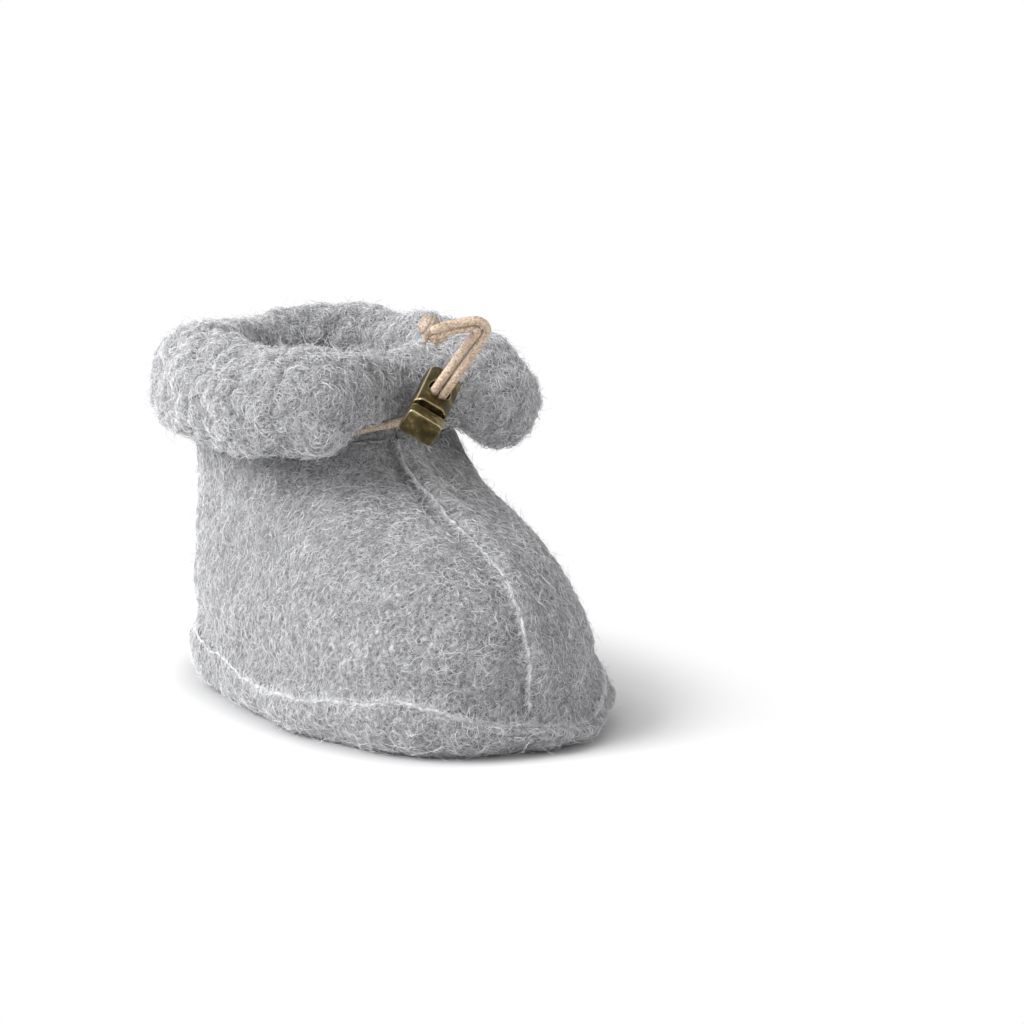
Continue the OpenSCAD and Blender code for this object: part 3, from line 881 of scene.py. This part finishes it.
for name, p, n in linings:
    wool_fibres(f"{name}_fibres", Sheet(p, n), 3300, (0.2, 0.8), slot_name="lining_wool",
                **PILE)
up_normals = np.zeros_like(insole_top)
up_normals[..., 2] = 1
wool_fibres("insole_fibres", Sheet(insole_top, up_normals), 2600, (0.15, 0.6),
            slot_name="lining_wool", **PILE)


# ---- Tubes along one path ----------------------------------------------
def frames(path):
    """Two directions across a path that never twist."""
    along = unit(np.gradient(path, axis=0))
    out = np.zeros_like(path)
    out[0] = unit(np.cross(along[0], [0.31, 0.17, 0.94]))
    for i in range(1, len(path)):
        out[i] = unit(out[i - 1] - (out[i - 1] @ along[i]) * along[i])
    return out, np.cross(along, out)


def resample(path, step):
    """The path in even steps, and how far along it each point is."""
    walked = np.concatenate([[0], np.cumsum(np.linalg.norm(np.diff(path, axis=0), axis=-1))])
    n = max(2, int(walked[-1] / step) + 1)
    s = np.linspace(0, walked[-1], n)
    return np.stack([np.interp(s, walked, path[:, k]) for k in range(3)], -1), s


def tube(path, radius, sides):
    """Rings of a tube; radius may be a grid over rings and sides."""
    out, high = frames(path)
    q = around(sides)
    ring = np.cos(q)[None, :, None] * out[:, None] + np.sin(q)[None, :, None] * high[:, None]
    radius = np.broadcast_to(np.asarray(radius, float), (len(path), sides))
    return path[:, None] + ring * radius[..., None]


def close_tube(rings):
    """A tube with a point in the middle of each end."""
    m, n = rings.shape[:2]
    verts = np.concatenate([rings.reshape(-1, 3), rings[0].mean(0)[None],
                            rings[-1].mean(0)[None]])
    quads = grid_quads(m, n, wrap_v=True)
    k = np.arange(n)
    fan = np.stack([k, (k + 1) % n, np.full(n, m * n)], -1)
    tris = np.concatenate([fan[:, ::-1], fan + np.array([(m - 1) * n, (m - 1) * n, 1])])
    if volume(verts, quads) < 0:
        quads, tris = quads[:, ::-1], tris[:, ::-1]
    return verts, quads, tris


def join(parts):
    """Several closed tubes as one set of points and faces."""
    verts, quads, tris, first = [], [], [], 0
    for v, q, t in parts:
        verts.append(v)
        quads.append(q + first)
        tris.append(t + first)
        first += len(v)
    return np.concatenate(verts), np.concatenate(quads), np.concatenate(tris)


def yarn(path, radius, seed):
    """A soft two-ply yarn with an uneven surface."""
    path, s = resample(path, 0.22)
    sides = 9
    q = around(sides)
    ply = np.abs(np.cos(q[None] - s[:, None] * 2.1))
    lump = noise(path, 1.6, seed)[:, None] * 0.3 + noise(path, 0.8, seed + 1)[:, None] * 0.4
    return close_tube(tube(path, radius * (0.72 + 0.34 * ply + lump), sides))


# ---- Seams --------------------------------------------------------------
FIBRE_STEPS = 5


def seam_fibres(name, path, outward, count, spread, lift, share):
    """Short fibres that cross and follow a seam, on its outer side; share
    says how thickly they lie along it."""
    path, _ = resample(path, 0.4)
    along = unit(np.gradient(path, axis=0))
    away = outward(path)
    high = unit(away - (away * along).sum(-1, keepdims=True) * along)
    out = np.cross(along, high)
    i = rng.integers(0, len(path), count)
    if share is not None:
        thick = share(path)
        i = rng.choice(len(path), count, p=thick / thick.sum())
    side = rng.normal(0, spread, count)
    up = rng.uniform(*lift, count)
    length = rng.uniform(1.2, 3.0, count)
    lean = rng.normal(0, 0.9, count)
    points = []
    for k in range(FIBRE_STEPS + 1):
        f = k / FIBRE_STEPS - 0.5
        bend = np.sin(f * PI * rng.uniform(0.8, 1.2)) * 0.4
        points.append(path[i] + along[i] * (f * length * np.cos(lean))[:, None]
                      + out[i] * (side + f * length * np.sin(lean) + bend * 0.4)[:, None]
                      + high[i] * (up * (1 - 1.2 * abs(f)))[:, None])
    paths = np.stack(points, 1) + rng.normal(0, 0.05, (count, FIBRE_STEPS + 1, 3))
    normals = np.repeat(high[i][:, None], FIBRE_STEPS + 1, 1)
    for shade, part in ((1, slice(0, count // 5)), (2, slice(count // 5, count // 2)),
                        (3, slice(count // 2, count))):
        fibre_object(name, paths[part], normals[part],
                     rng.uniform(0.028, 0.05, count)[part], shade, "seam_thread", 0.05)


def seam(node, path, radius, seed, outward, count, spread, lift, share=None):
    """One seam: pale yarn with loose fibres on it."""
    piece(f"{node}_yarn", yarn(path, radius, seed), thread_wool, "seam_thread", node)
    seam_fibres(f"{node}_fibres", path, outward, count, spread, lift, share)


front_path = ((left_out[0] + right_out[0]) / 2)[8:UP - 2].copy()
front_path[:, 1] -= 0.2
front_path[:, 2] += 0.05
front_path[:, 0] += 0.45 * noise(front_path, 7.0, 51) + 0.3 * noise(front_path, 2.2, 52)
seam("front_seam", front_path, 0.27, 53, lambda p: p - np.array([0, 12.0, 0]),
     1000, 0.3, (0.0, 0.42))

back_path = ((left_out[-1] + right_out[-1]) / 2)[12:UP - 2].copy()
back_path[:, 1] += 0.3
back_path[:, 0] += 0.3 * noise(back_path, 6.0, 54)
seam("back_seam", back_path, 0.42, 55, lambda p: p * np.array([0, 1.0, 0]),
     700, 0.4, (0.05, 0.4))

a, side = full_turn(480)
edge_path = sole_point(side, a, 0.55, seam_height(a) + seam_wave(side, a) + 0.12)
edge_path[:, 2] += 0.42 * noise(edge_path, 3.2, 56) + 0.3 * noise(edge_path, 1.5, 59)
edge_path = np.concatenate([edge_path, edge_path[:1]], 0)
flat = unit(np.gradient(edge_path, axis=0))
edge_path[:, :2] += 0.35 * noise(edge_path, 5.0, 57)[:, None] * np.stack(
    [flat[:, 1], -flat[:, 0]], -1)
edge_path[-1] = edge_path[0]
seam("sole_seam", edge_path, 0.25, 58,
     lambda p: p * np.array([1.0, 1.0, 0]) + np.array([0, 0, 14.0]),
     4200, 0.42, (0.0, 0.42),
     share=lambda p: 0.16 + 0.84 * smooth((10 - p[:, 1]) / 24))


def stitches():
    """Running stitches round the ankle that close the cord's channel."""
    a, side = full_turn(600)
    line = upper_point(side, 0.08, a, -0.45)
    line = np.concatenate([line, line[:1]], 0)
    line, s = resample(line, 0.25)
    parts = []
    stitch, gap = 2.4, 1.0
    count = int(s[-1] / (stitch + gap))
    centre = line.mean(0)
    for k in range(count):
        at = k * (stitch + gap) + rng.normal(0, 0.1)
        f = np.linspace(0, 1, 9)
        pos = np.stack([np.interp(at + f * stitch, s, line[:, c]) for c in range(3)], -1)
        out = pos - centre
        out[:, 2] = 0
        dip = 0.45 * (np.abs(f - 0.5) * 2) ** 3
        pos = pos - unit(out) * dip[:, None]
        pos[:, 2] += rng.normal(0, 0.06)
        parts.append(close_tube(tube(pos, 0.26, 6)))
    return join(parts)


piece("channel_stitches", stitches(), hidden_thread, "seam_thread", "channel_stitching")


# ---- Drawcord -----------------------------------------------------------
pair_half = cord_d / 2 + 0.03


def channel_point(side, a, inset=outer_t + layer_gap + cord_d / 2 + 0.15):
    p = upper_point(side, 0.04, a, inset)
    return np.array([p[0], p[1], cord_z])


def strand(side, along):
    return lock_back + along * cord_dir + side * pair_half * across_dir


BEND_R = 1.6
SLIDE = 10.0            # the lock's travel: the pair stays level along it
knot_up = unit(np.cross(np.cross(end_dir, [0, 0, 1]), end_dir))
to_viewer = np.cross(knot_up, end_dir)
to_viewer = to_viewer * (-1 if to_viewer[1] > 0 else 1)
TURN = math.acos(float(cord_dir @ end_dir))
inward = np.cross(fold_axis, cord_dir)      # towards the inside of the fold


REACH = BEND_R * math.tan(TURN / 2)         # from the fold's corner to its arc
ARC_FROM = lock_h + tail_len - REACH
TAIL_LENGTH = ARC_FROM + BEND_R * TURN + end_len - REACH


def tail_centre(s):
    """The doubled cord's middle line: s is from the lock's back."""
    if s <= ARC_FROM:
        return lock_back + s * cord_dir, cord_dir
    swept = (s - ARC_FROM) / BEND_R
    hub = lock_back + ARC_FROM * cord_dir + BEND_R * inward
    if swept <= TURN:
        away = -math.cos(swept) * inward + math.sin(swept) * cord_dir
        return hub + BEND_R * away, math.cos(swept) * cord_dir + math.sin(swept) * inward
    beyond = s - ARC_FROM - BEND_R * TURN
    return fold_at + (REACH + beyond) * end_dir, end_dir


def strand_path(side):
    """One strand: from behind the heel, out of its channel, through the
    lock, round the fold and into the knot."""
    start = [channel_point(side, math.radians(q)) for q in range(180, 51, -6)]
    start[0][0] = 0
    hole = channel_point(side, exit_angle, outer_t / 2)
    way = unit([side * 0.12, -1, 0])
    start += [channel_point(side, math.radians(40)),
              hole - 1.8 * way + np.array([side * 0.9, 0, 0]), hole + 0.4 * way,
              hole + 3.6 * way - np.array([side * 0.5, 0, -0.2]), strand(side, -2.6)]
    tail = []
    for s in np.arange(0, TAIL_LENGTH + 0.55, 0.25):
        mid, along = tail_centre(s)
        near_knot = float(smooth((s - TAIL_LENGTH + 3.4) / 3.4))
        mid = mid + near_knot * (0.75 * to_viewer - 0.35 * knot_up)
        planar = np.cross(fold_axis, along)     # across the pair, in the fold plane
        twist = smooth((s - lock_h - SLIDE - 0.3) / 5.2)
        plane = unit(mix(across_dir, -planar, twist))
        plane = unit(plane - (plane @ along) * along)
        sway = 0.12 * math.sin(s * 0.55 + side) * float(smooth((s - lock_h - SLIDE) / 3))
        tail.append(mid + side * pair_half * plane + sway * np.cross(along, plane))
    lead = curve(start + tail[:2], 420)
    return np.concatenate([lead[:-14], np.array(tail[1:])])


STRANDS, PITCH = 8, 2 * PI / 6.0


def braid(path, seed, radius=cord_d / 2, round_end=False):
    """A braided round cord: two families of crossing plaits. Gives its rings
    and its middle line."""
    path, s = resample(path, 0.1)
    sides = 4 * STRANDS
    q = around(sides)
    one = np.cos(STRANDS * (q[None] + s[:, None] * PITCH))
    two = np.cos(STRANDS * (q[None] - s[:, None] * PITCH))
    plait = np.maximum(one, two)
    wear = noise(path, 2.2, seed)[:, None] * 0.035
    left = np.clip((s[-1] - s) / radius, 0, 1) if round_end else np.ones(len(s))
    cap = np.sqrt(np.maximum(1 - (1 - left) ** 2, 0.02))[:, None]
    return tube(path, radius * cap * (0.94 + 0.06 * plait + wear), sides), path


ankle_parts, tail_parts = [], []
for side, seed in ((1, 61), (-1, 62)):
    rings, path = braid(strand_path(side), seed, round_end=True)
    cut = int(np.argmin(np.linalg.norm(path - strand(side, 1.0), axis=-1)))
    ankle_parts.append(close_tube(rings[:cut + 1]))
    tail_parts.append(close_tube(rings[cut:]))
piece("drawcord_ankle", join(ankle_parts), waxed_cord, "cord", "drawcord")
tail = piece("drawcord_tail", join(tail_parts), waxed_cord, "cord", "cord_end", body=None)
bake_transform(tail)


def knot():
    """The knot in the doubled cord: a smooth wrap over the two strands, a
    loop below them, and two short frayed stubs."""
    parts = []

    def place(left, high, near):
        return knot_at + left * end_dir + high * knot_up + near * to_viewer

    # the wrap, a flattened ball with one crease between its two turns
    middle = place(0.45, 0.8, -0.25)
    radius = 1.95
    f = np.cos(np.linspace(PI, 0, 64))
    pole = unit(0.8 * end_dir + 0.6 * knot_up)
    path = middle + radius * 0.96 * f[:, None] * pole
    q = around(72)
    crease = 1 - 0.09 * bump(f[:, None], 0.18 + 0.12 * np.cos(q)[None], 0.1)
    plait = 0.012 * np.cos(26 * f[:, None] + 9 * q[None]) * np.cos(26 * f[:, None] - 9 * q[None])
    girth = np.sqrt(np.maximum(1 - f ** 2, 0.0004))[:, None]
    parts.append(close_tube(tube(path, radius * girth * (crease + plait), 72)))
    # the loop that passes under the strands
    under = [place(-2.3, 0.2, -0.7), place(-2.1, -1.1, -0.5), place(-1.2, -1.9, -0.2),
             place(0.0, -1.7, 0.0), place(0.9, -0.8, -0.2), place(1.2, 0.3, -0.4)]
    rings, _ = braid(curve(under, 60), 63, radius=0.55)
    parts.append(close_tube(rings))
    for k, (left, lean, reach) in enumerate(((1.25, 0.25, 1.2), (-0.15, -0.1, 1.5))):
        begin = place(left, -0.7, 0.1 + 0.35 * k)
        way = unit(lean * end_dir - knot_up + 0.1 * to_viewer)
        stub = begin + np.linspace(0, reach, 7)[:, None] * way
        rings, _ = braid(stub, 64 + k, radius=0.5 - 0.1 * k)
        parts.append(close_tube(rings))
        for _ in range(26):
            start = begin + (reach - 0.2) * way + rng.normal(0, 0.16, 3)
            tip_way = unit(way + rng.normal(0, 0.3, 3))
            n = np.linspace(0, rng.uniform(0.3, 0.8), 4)[:, None]
            parts.append(close_tube(tube(start + n * tip_way, 0.045, 4)))
    return join(parts)


piece("knot_braid", knot(), knot_cord, "cord", "end_knot", body="cord_tip")

# ---- Cord lock ----------------------------------------------------------
lock_mid = lock_back + lock_h / 2 * cord_dir - cord_offset * press_dir
lock_place = Matrix.Translation(Vector(lock_mid * MM)) @ Matrix(
    (press_dir, across_dir, cord_dir)).transposed().to_4x4() @ Matrix.Scale(MM, 4)
stem_w, stem_h = lock_w - 2 * wall - 0.1, 2.8
slot_near = cord_offset - cord_d / 2 - 0.05
slot_far = slot_near + 2.9
stem_end = slot_near - 1.0
EDGE_STEPS = 6
GRAIN = 0.09            # size of the lock's faces
HIDDEN_PLAY = 0.12      # kept free between the plunger and its bore


def temporary(b):
    mesh = bpy.data.meshes.new("cutter")
    b.to_mesh(mesh)
    b.free()
    obj = bpy.data.objects.new("cutter", mesh)
    scene.collection.objects.link(obj)
    return obj


def rounded_block(length, width, height, long_r, end_r, at=0.0, profile=0.5):
    """A block along X with rounded long edges and softened ends."""
    b = bmesh.new()
    bmesh.ops.create_cube(b, size=1.0)
    bmesh.ops.scale(b, vec=(length, width, height), verts=b.verts)
    for radius, wanted in ((long_r, lambda e: abs((e.verts[0].co - e.verts[1].co).x) > 0.5),
                           (end_r, lambda e: all(abs(abs(v.co.x) - length / 2) < 1e-4
                                                 for v in e.verts))):
        if radius > 0:
            bmesh.ops.bevel(b, geom=[e for e in b.edges if wanted(e)], offset=radius,
                            offset_type="OFFSET", segments=EDGE_STEPS, profile=profile,
                            affect="EDGES", clamp_overlap=True)
    bmesh.ops.translate(b, vec=(at, 0, 0), verts=b.verts)
    return temporary(b)


def block(x0, x1, width, height):
    return rounded_block(x1 - x0, width, height, 0, 0, (x0 + x1) / 2)


def cross_hole():
    """The cutter for the cross hole: its mouths flare a little."""
    z = np.array([-lock_h / 2 - 0.5, -lock_h / 2, -lock_h / 2 + 0.18, -lock_h / 2 + 0.4])
    r = hole_r + np.array([0.6, 0.22, 0.06, 0.0])
    z, r = np.concatenate([z, -z[::-1]]), np.concatenate([r, r[::-1]])
    q = around(64)
    rings = np.stack([hole_at + r[:, None] * np.cos(q), r[:, None] * np.sin(q),
                      z[:, None] + 0 * q[None]], -1)
    v, quads, tris = close_tube(rings)
    b = bmesh.new()
    points = [b.verts.new(p) for p in v]
    for face in list(quads) + list(tris):
        b.faces.new([points[i] for i in face])
    bmesh.ops.recalc_face_normals(b, faces=b.faces)
    return temporary(b)


def combine(obj, other, operation):
    m = obj.modifiers.new("cut", "BOOLEAN")
    m.operation, m.solver, m.object = operation, "EXACT", other


def cast_metal(obj, name, others):
    """Applies the cuts, evens the mesh out, softens its edges and puts it in
    the lock's place."""
    even = obj.modifiers.new("even", "REMESH")
    even.mode, even.voxel_size = "VOXEL", GRAIN
    soft = obj.modifiers.new("soft", "SMOOTH")
    soft.factor, soft.iterations = 0.5, 3
    graph = bpy.context.evaluated_depsgraph_get()
    mesh = bpy.data.meshes.new_from_object(obj.evaluated_get(graph))
    mesh.name = name
    mesh.transform(lock_place)
    for old in [obj] + others:
        bpy.data.objects.remove(old)
    mesh.shade_smooth()
    made = bpy.data.objects.new(name, mesh)
    scene.collection.objects.link(made)
    return made


body = rounded_block(lock_l, lock_w, lock_h, 1.45, 0.3, profile=0.34)
bore = block(-lock_l / 2 + end_wall, lock_l, stem_w + 0.1, stem_h + 0.1)
hole = cross_hole()
combine(body, bore, "DIFFERENCE")
combine(body, hole, "DIFFERENCE")
finish(cast_metal(body, "lock_body_cast", [bore, hole]), brass, "brass", "lock_body",
       body="lock")

head_at = lock_l / 2 + button_gap + button_t / 2
button = rounded_block(button_t, lock_w, lock_h, 0.85, 0.5, head_at)
stem = block(stem_end, head_at, stem_w - HIDDEN_PLAY, stem_h - HIDDEN_PLAY)
slot = block(slot_near, slot_far, 2 * pair_half + cord_d + 0.2, lock_h)
combine(button, stem, "UNION")
combine(button, slot, "DIFFERENCE")
finish(cast_metal(button, "lock_button_cast", [stem, slot]), brass, "brass", "lock_button",
       body="button")

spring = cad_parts["lock_spring"]
spring.data.materials.clear()
spring.data.materials.append(steel)
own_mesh(spring)

# ---- Studio -------------------------------------------------------------
floor = add_object("studio_floor", [[-2000, -2000, 0], [2000, -2000, 0],
                                    [2000, 2000, 0], [-2000, 2000, 0]], [[0, 1, 2, 3]])
floor_paint, g = new_material("floor_paint")
seen = g.seen()
# The camera sees the floor a little darker than it shines, so that the
# contact shadow reads, and a painted contact shadow, from ambient
# occlusion, makes it darker still where the bootie touches it
contact = g.add("AmbientOcclusion", "AO", {"Distance": 0.011}, samples=8)
painted_contact_shadow = g.blend(contact, (0.3, 0.3, 0.305, 1), (0.74, 0.74, 0.745, 1))
g.put(g.shader, {"Base Color": g.blend(seen, (0.88, 0.88, 0.89, 1), painted_contact_shadow),
                 "Roughness": 0.9})
# and it fades into the white backdrop, from once to twice the sole's outline
by_outline = g.add("VectorMath", "Vector", {0: g.place(), 1: (1 / 0.034, 1 / 0.056, 0)},
                   operation="MULTIPLY")
away = g.add("VectorMath", "Value", {0: by_outline}, operation="LENGTH")
fade = g.add("MapRange", "Result", {"Value": away, "From Min": 1.0, "From Max": 2.0},
             interpolation_type="SMOOTHSTEP")
only_seen = g.add("Math", "Value", {0: fade, 1: seen}, operation="MULTIPLY")
glow = g.add("Emission", "Emission", {})
g.put(g.tree.nodes["Material Output"], {"Surface": g.add("MixShader", "Shader", {
    "Fac": only_seen, 1: g.shader.outputs["BSDF"], 2: glow})})
floor.data.materials.append(floor_paint)
floor.location.z = -0.00005

# The backdrop looks white and lights the scene a little less
SOFT_LIGHT = 0.7
scene.world = bpy.data.worlds.new("studio")
g = Nodes(scene.world)
g.put(g.tree.nodes["Background"], {
    "Color": (1, 1, 1, 1),
    "Strength": g.add("MapRange", "Result", {
        "Value": g.seen(), "To Min": SOFT_LIGHT, "To Max": 1.0})})


def area_light(name, place, aim, size, power):
    light = bpy.data.lights.new(name, "AREA")
    light.shape = "DISK"
    light.size = size
    light.energy = power
    o = bpy.data.objects.new(name, light)
    scene.collection.objects.link(o)
    o.location = place
    o.rotation_euler = (Vector(aim) - Vector(place)).to_track_quat("-Z", "Y").to_euler()


centre = (0, 0, 0.03)
area_light("key", (-0.98, 0.22, 0.74), centre, 1.0, 28.0)
area_light("fill", (0.3, -0.8, 0.5), centre, 0.6, 2.4)

# The camera sees the bootie from the photograph's side, a little above it
azimuth, elevation, distance = math.radians(-31), math.radians(11), 0.6
back = Vector((math.sin(azimuth) * math.cos(elevation),
               -math.cos(azimuth) * math.cos(elevation), math.sin(elevation)))
right = Vector((math.cos(azimuth), math.sin(azimuth), 0))
up = back.cross(right)
view_middle = right * 0.0233 + up * 0.0327
camera = bpy.data.cameras.new("camera")
camera.lens = 116
camera.sensor_width = 36
camera.clip_start = 0.01
eye = bpy.data.objects.new("camera", camera)
scene.collection.objects.link(eye)
eye.matrix_world = Matrix.Translation(view_middle + back * distance) @ Matrix(
    (right, up, back)).transposed().to_4x4()
scene.camera = eye
scene.view_settings.view_transform = "Standard"
